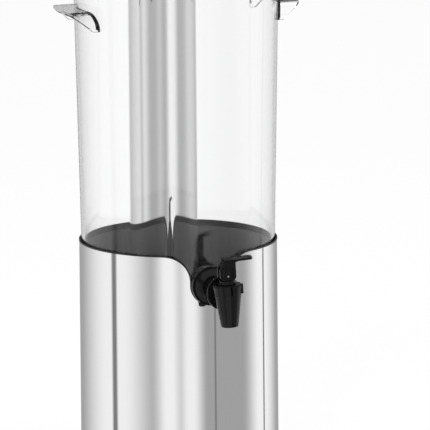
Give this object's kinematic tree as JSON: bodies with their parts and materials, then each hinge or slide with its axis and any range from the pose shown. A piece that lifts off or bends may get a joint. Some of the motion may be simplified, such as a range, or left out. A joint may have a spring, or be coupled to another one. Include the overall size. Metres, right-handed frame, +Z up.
{
  "type": "countertop drinks dispenser with tap",
  "caption": "Clear round drinks tank with side handles, standing in a polished steel sleeve, with a black lever tap low on the front, an ice tube, a lid and a drip tray.",
  "frame": {"origin": "middle of the base's underside, on the tank's axis, at table level", "axes": "+Z up the tank's axis; the tap points to -Y; the handles are on +X and -X; the ice tube is towards +Y"},
  "size_m": [0.2562, 0.3112, 0.5387],
  "materials": {
    "polished_steel": "mirror polished stainless steel",
    "plain_steel": "bright machined steel",
    "clear_plastic": "clear, glossy",
    "black_gloss": "gloss black",
    "black_plastic": "satin black",
    "black_trim": "satin black",
    "silicone": "smooth black silicone",
    "rubber": "matte black"
  },
  "bodies": {
    "base": {"sleeve": "polished_steel", "rim_trim": "black_trim", "base_pad": "rubber", "base_plate": "black_plastic", "tank_stand": "black_plastic", "stand_screws": "plain_steel", "tank_seat_ring": "rubber", "tray_bracket": "polished_steel", "bracket_rivets": "plain_steel"},
    "tank": {"tank": "clear_plastic", "handle_left": "clear_plastic", "handle_right": "clear_plastic", "tap_body": "black_gloss", "tap_washer_outer": "silicone", "tap_washer_inner": "silicone", "tap_nut": "black_plastic", "tap_bonnet": "black_gloss", "return_spring": "plain_steel"},
    "swivel": {"swivel_ring": "black_gloss"},
    "valve": {"valve_stem": "plain_steel", "lever_pin": "plain_steel", "seat_cup": "silicone"},
    "lever": {"tap_lever": "black_gloss"},
    "lid": {"lid": "polished_steel", "lid_seal": "silicone", "tube_collar": "black_plastic", "lid_knob": "black_gloss", "knob_washer": "plain_steel", "knob_screw": "plain_steel"},
    "ice_tube": {"ice_tube": "polished_steel", "tube_bumper": "silicone"},
    "tube_cap": {"tube_cap": "black_plastic", "cap_seal": "silicone"},
    "drip_tray": {"drip_tray": "polished_steel", "tray_feet": "rubber"},
    "drip_grid": {"drip_grid": "polished_steel"}
  },
  "joints": [
    {"name": "tray_pull", "type": "slide", "parent": "base", "child": "drip_tray", "axis": [0, -1, 0], "range_m": [0, 0.15]},
    {"name": "grid_lift", "type": "slide", "parent": "drip_tray", "child": "drip_grid", "axis": [0, 0, 1], "range_m": [0, 0.04]},
    {"name": "tank_lift", "type": "slide", "parent": "base", "child": "tank", "axis": [0, 0, 1], "range_m": [0, 0.08]},
    {"name": "swivel_turn", "type": "hinge", "parent": "tank", "child": "swivel", "pos_m": [0, -0.1625, 0.188], "axis": [-0.0523, 0, 0.9986], "continuous": true},
    {"name": "valve_lift", "type": "slide", "parent": "swivel", "child": "valve", "axis": [-0.0523, 0, 0.9986], "range_m": [0, 0.0022], "deforming": ["return_spring"]},
    {"name": "lever_press", "type": "hinge", "parent": "valve", "child": "lever", "pos_m": [-0.00108, -0.1625, 0.20857], "axis": [0, 1, 0], "range_deg": [0, 30], "stiffness_Nm_per_rad": 0.25, "springref_deg": -11.46},
    {"name": "lid_lift", "type": "slide", "parent": "tank", "child": "lid", "axis": [0, 0, 1], "range_m": [0, 0.36]},
    {"name": "tube_lift", "type": "slide", "parent": "lid", "child": "ice_tube", "axis": [0, 0, 1], "range_m": [0, 0.36]},
    {"name": "cap_lift", "type": "slide", "parent": "ice_tube", "child": "tube_cap", "axis": [0, 0, 1], "range_m": [0, 0.06]}
  ],
  "couplings": [
    {"joint": "valve_lift", "follows": "lever_press", "m_per_rad": 0.0041}
  ]
}
